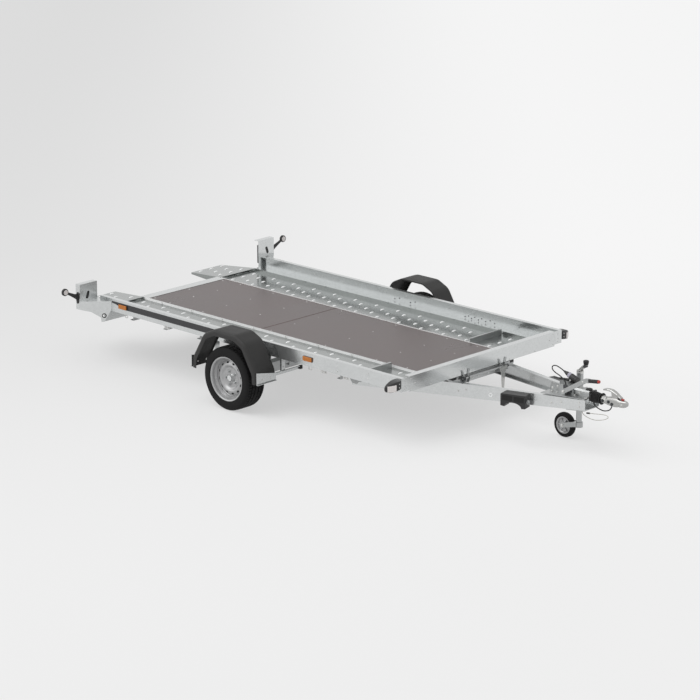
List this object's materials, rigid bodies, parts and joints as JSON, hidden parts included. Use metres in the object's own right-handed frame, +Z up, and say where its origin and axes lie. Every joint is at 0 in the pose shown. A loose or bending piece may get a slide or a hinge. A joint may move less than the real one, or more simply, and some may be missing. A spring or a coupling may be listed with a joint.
{
  "type": "tilting car trailer",
  "caption": "Single-axle car trailer with a low two-track deck, ramp flaps, hinged drawbar with overrun coupling, jockey wheel and handbrake.",
  "frame": {"origin": "on the ground under the middle of the trailer's box", "axes": "+X towards the coupling, +Y to the left, +Z up"},
  "size_m": [5.3, 2.6238, 0.693],
  "materials": {
    "galvanised": "hot-dip galvanised sheet, low gloss with soft spangle",
    "tyre": "black road tyre",
    "jockey_tyre": "solid black rubber tyre",
    "rim": "silver painted steel rim",
    "cast_iron": "grey coated iron",
    "plywood": "brown phenolic film faced plywood",
    "mudguard": "dark grey moulded plastic",
    "black_plastic": "black plastic and rubber",
    "amber_lens": "amber lens",
    "bright_zinc": "bright zinc plated",
    "steel_rope": "thin steel rope"
  },
  "bodies": {
    "deck": {"axle_tube": "galvanised", "cross_members": "galvanised", "floor_front": "plywood", "floor_rear": "plywood", "floor_runners": "galvanised", "front_beam": "galvanised", "front_lamps": "black_plastic", "lamp_beam": "galvanised", "lamp_carrier_left": "galvanised", "lamp_carrier_right": "galvanised", "marker_lamps": "black_plastic", "mudguard_brackets": "galvanised", "mudguard_left": "mudguard", "mudguard_right": "mudguard", "pivot_brackets": "galvanised", "ramp_flap_left": "galvanised", "ramp_flap_right": "galvanised", "rear_beam": "galvanised", "side_markers": "amber_lens", "side_rail_left": "galvanised", "side_rail_right": "galvanised", "swing_arms": "cast_iron", "tail_lamps": "black_plastic", "track_left": "galvanised", "track_right": "galvanised", "wheel_stops": "galvanised"},
    "wheel_right": {"tyre_right": "tyre", "rim_right": "rim", "hub_right": "cast_iron"},
    "wheel_left": {"tyre_left": "tyre", "rim_left": "rim", "hub_left": "cast_iron"},
    "drawbar": {"drawbar_arm_right": "galvanised", "drawbar_arm_left": "galvanised", "drawbar_tie": "galvanised", "tie_buffers": "black_plastic", "latches": "galvanised", "latch_shaft": "galvanised", "latch_handles": "galvanised", "coupling_bracket": "galvanised", "overrun_housing": "galvanised", "bellows": "black_plastic", "coupling_head": "bright_zinc", "coupling_handle": "bright_zinc", "jockey_clamp": "galvanised", "jockey_crank": "galvanised", "crank_knob": "black_plastic", "wheel_chocks": "black_plastic", "plug_holder": "black_plastic", "plug": "black_plastic", "plug_cable": "black_plastic", "coupling_cable": "black_plastic", "breakaway_cable": "steel_rope"},
    "handbrake": {"handbrake_lever": "galvanised", "handbrake_grip": "black_plastic"},
    "jockey_leg": {"jockey_leg": "galvanised"},
    "jockey_fork": {"jockey_fork": "galvanised"},
    "jockey_wheel": {"jockey_tyre": "jockey_tyre", "jockey_rim": "rim"}
  },
  "joints": [
    {"name": "drawbar_tilt", "type": "hinge", "parent": "deck", "child": "drawbar", "pos_m": [0.365, 0, 0.322], "axis": [0, 1, 0], "range_deg": [0, 15]},
    {"name": "wheel_right_spin", "type": "hinge", "parent": "deck", "child": "wheel_right", "pos_m": [-0.485, -1.0925, 0.2625], "axis": [0, 1, 0], "continuous": true},
    {"name": "wheel_left_spin", "type": "hinge", "parent": "deck", "child": "wheel_left", "pos_m": [-0.485, 1.0925, 0.2625], "axis": [0, 1, 0], "continuous": true},
    {"name": "handbrake_pull", "type": "hinge", "parent": "drawbar", "child": "handbrake", "pos_m": [2.101, -0.087, 0.474], "axis": [0, -1, 0], "range_deg": [0, 50]},
    {"name": "jockey_height", "type": "slide", "parent": "drawbar", "child": "jockey_leg", "axis": [0, 0, -1], "range_m": [-0.08, 0.12]},
    {"name": "jockey_swivel", "type": "hinge", "parent": "jockey_leg", "child": "jockey_fork", "pos_m": [2.035, 0.1815, 0.13], "axis": [0, 0, 1], "continuous": true},
    {"name": "jockey_wheel_spin", "type": "hinge", "parent": "jockey_fork", "child": "jockey_wheel", "pos_m": [1.897, 0.1815, 0.1], "axis": [0, 1, 0], "continuous": true}
  ]
}
